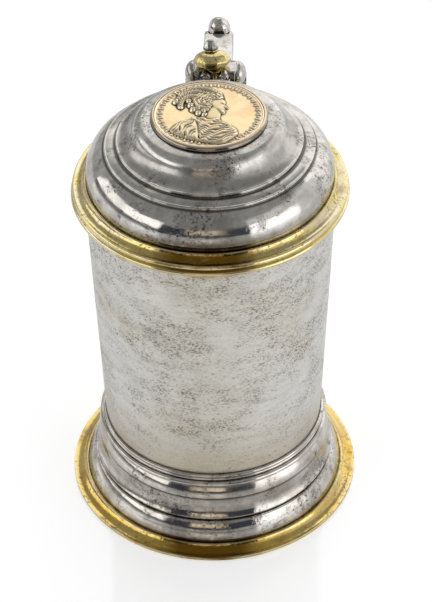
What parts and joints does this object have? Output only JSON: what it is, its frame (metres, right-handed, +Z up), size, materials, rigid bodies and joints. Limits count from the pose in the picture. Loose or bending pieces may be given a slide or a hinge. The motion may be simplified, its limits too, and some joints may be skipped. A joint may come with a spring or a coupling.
{
  "type": "lidded tankard",
  "caption": "Silver tankard with a tapering drum on a moulded foot, an ear-shaped handle and a hinged domed lid with a set medal and a ball thumbpiece.",
  "frame": {"origin": "on the table, under the middle of the tankard's bounding box", "axes": "+Z up along the drum's axis, +Y towards the handle, +X to the right of someone who faces the front with the handle behind"},
  "size_m": [0.1296, 0.182, 0.1977],
  "materials": {
    "matte_silver": "old silver with a matte, finely pitted skin",
    "bright_silver": "polished silver, tarnished in the grooves",
    "gilding": "worn fire gilding over silver"
  },
  "bodies": {
    "tankard": {"foot_flange": "gilding", "foot_skirt": "bright_silver", "foot_wire_lower": "bright_silver", "foot_wire_upper": "bright_silver", "drum": "matte_silver", "drum_bottom": "matte_silver", "handle_arm": "bright_silver", "handle_plate": "bright_silver", "handle_limb": "bright_silver", "handle_lower_pad": "bright_silver", "hinge_yoke": "bright_silver", "hinge_knuckle_left": "bright_silver", "hinge_knuckle_right": "bright_silver", "hinge_pin": "bright_silver"},
    "lid": {"lid_dome": "bright_silver", "lid_flange": "gilding", "lid_bezel": "bright_silver", "medal_collar": "bright_silver", "medal": "gilding", "hinge_leaf": "bright_silver", "thumb_ball": "gilding", "thumb_finial": "bright_silver", "thumb_scroll_left": "bright_silver", "thumb_scroll_right": "bright_silver"}
  },
  "joints": [
    {"name": "lid_hinge", "type": "hinge", "parent": "tankard", "child": "lid", "pos_m": [0, 0.03981, 0.1724], "axis": [-1, 0, 0], "range_deg": [0, 90]}
  ]
}
